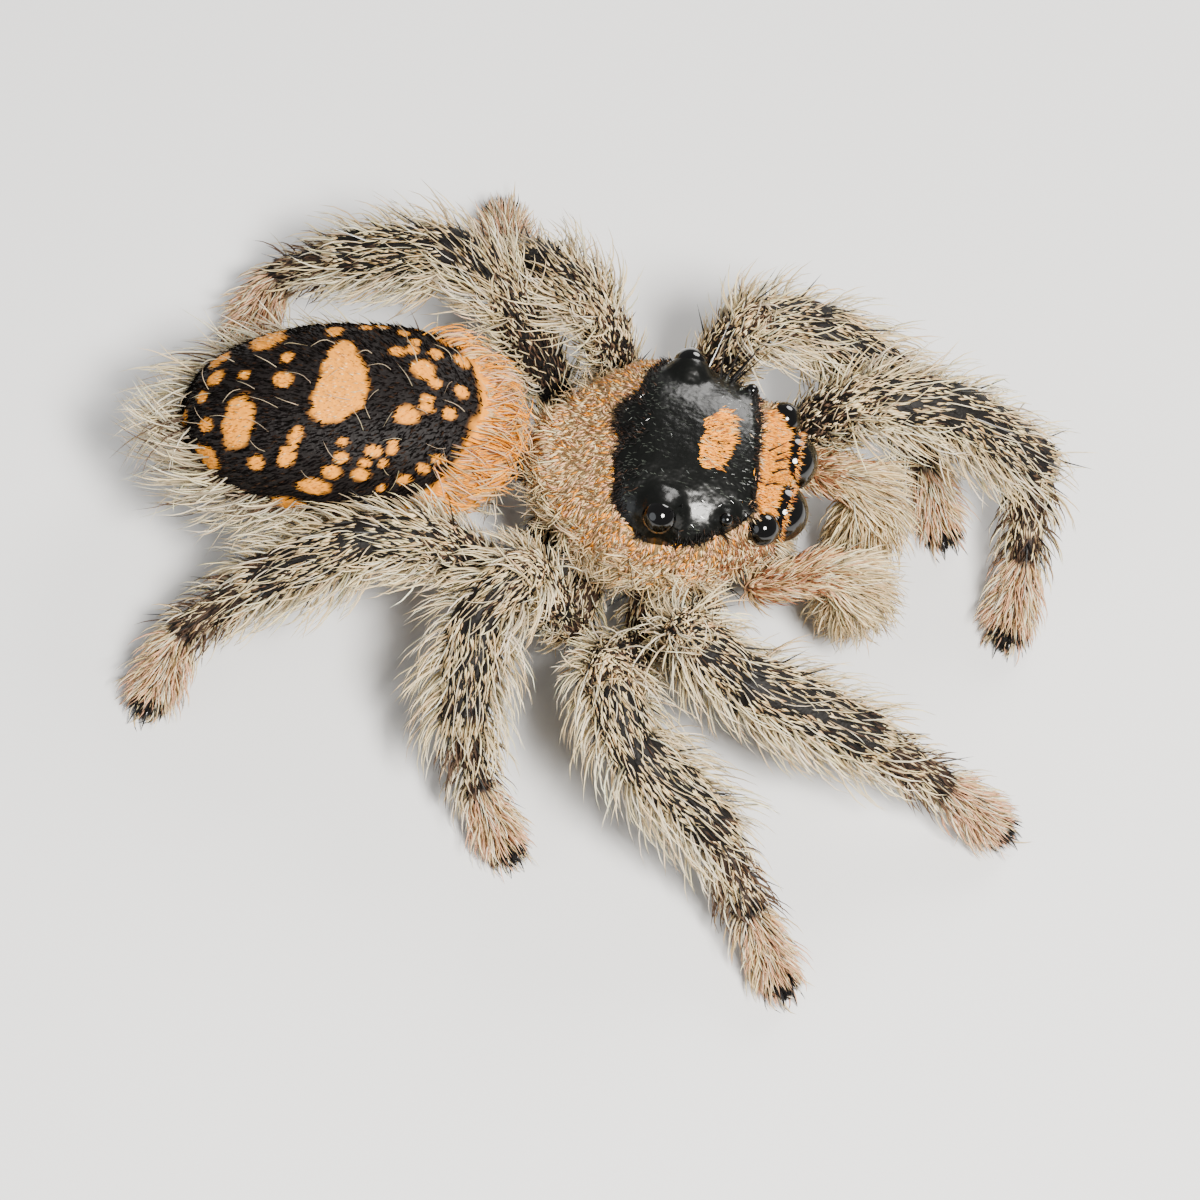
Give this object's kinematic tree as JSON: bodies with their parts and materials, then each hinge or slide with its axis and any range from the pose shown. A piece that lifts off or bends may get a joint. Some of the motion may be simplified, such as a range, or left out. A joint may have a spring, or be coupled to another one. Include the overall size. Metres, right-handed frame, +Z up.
{
  "type": "jumping spider",
  "caption": "Hairy black and tan jumping spider with orange spots, standing with bent legs; a still, life-size animal figure.",
  "frame": {"origin": "middle of the footprint's bounding rectangle, on the floor that the feet rest on", "axes": "+X runs forward through the head, the way the two big front eyes look; +Y is the animal's left; +Z is up from the floor"},
  "size_m": [0.0124, 0.0108, 0.0033],
  "materials": {
    "coat_tan": "matte tan and cream bristles over black shell",
    "coat_cream": "matte long cream hair",
    "velvet_black": "black velvet with orange spots and a pale fringe",
    "shell_black": "glossy black shell, partly under tan scales",
    "eye_black": "polished black lens",
    "horn_brown": "dark reddish brown horn"
  },
  "bodies": {
    "root": {"abdomen": "velvet_black", "carapace": "shell_black", "chelicera_left": "horn_brown", "chelicera_right": "horn_brown", "eye_front_middle_left": "eye_black", "eye_front_middle_right": "eye_black", "eye_front_side_left": "eye_black", "eye_front_side_right": "eye_black", "eye_rear_side_left": "eye_black", "eye_rear_side_right": "eye_black", "eye_rear_small_left": "eye_black", "eye_rear_small_right": "eye_black", "fang_left": "horn_brown", "fang_right": "horn_brown", "leg_left_1_foot": "coat_tan", "leg_left_1_middle": "coat_tan", "leg_left_1_upper": "coat_tan", "leg_left_2_foot": "coat_tan", "leg_left_2_middle": "coat_tan", "leg_left_2_upper": "coat_tan", "leg_left_3_foot": "coat_tan", "leg_left_3_middle": "coat_tan", "leg_left_3_upper": "coat_tan", "leg_left_4_foot": "coat_tan", "leg_left_4_middle": "coat_tan", "leg_left_4_upper": "coat_tan", "leg_right_1_foot": "coat_tan", "leg_right_1_middle": "coat_tan", "leg_right_1_upper": "coat_tan", "leg_right_2_foot": "coat_tan", "leg_right_2_middle": "coat_tan", "leg_right_2_upper": "coat_tan", "leg_right_3_foot": "coat_tan", "leg_right_3_middle": "coat_tan", "leg_right_3_upper": "coat_tan", "leg_right_4_foot": "coat_tan", "leg_right_4_middle": "coat_tan", "leg_right_4_upper": "coat_tan", "palp_left": "coat_cream", "palp_right": "coat_cream", "pedicel": "shell_black", "spinnerets": "horn_brown", "sternum": "shell_black"}
  },
  "joints": []
}
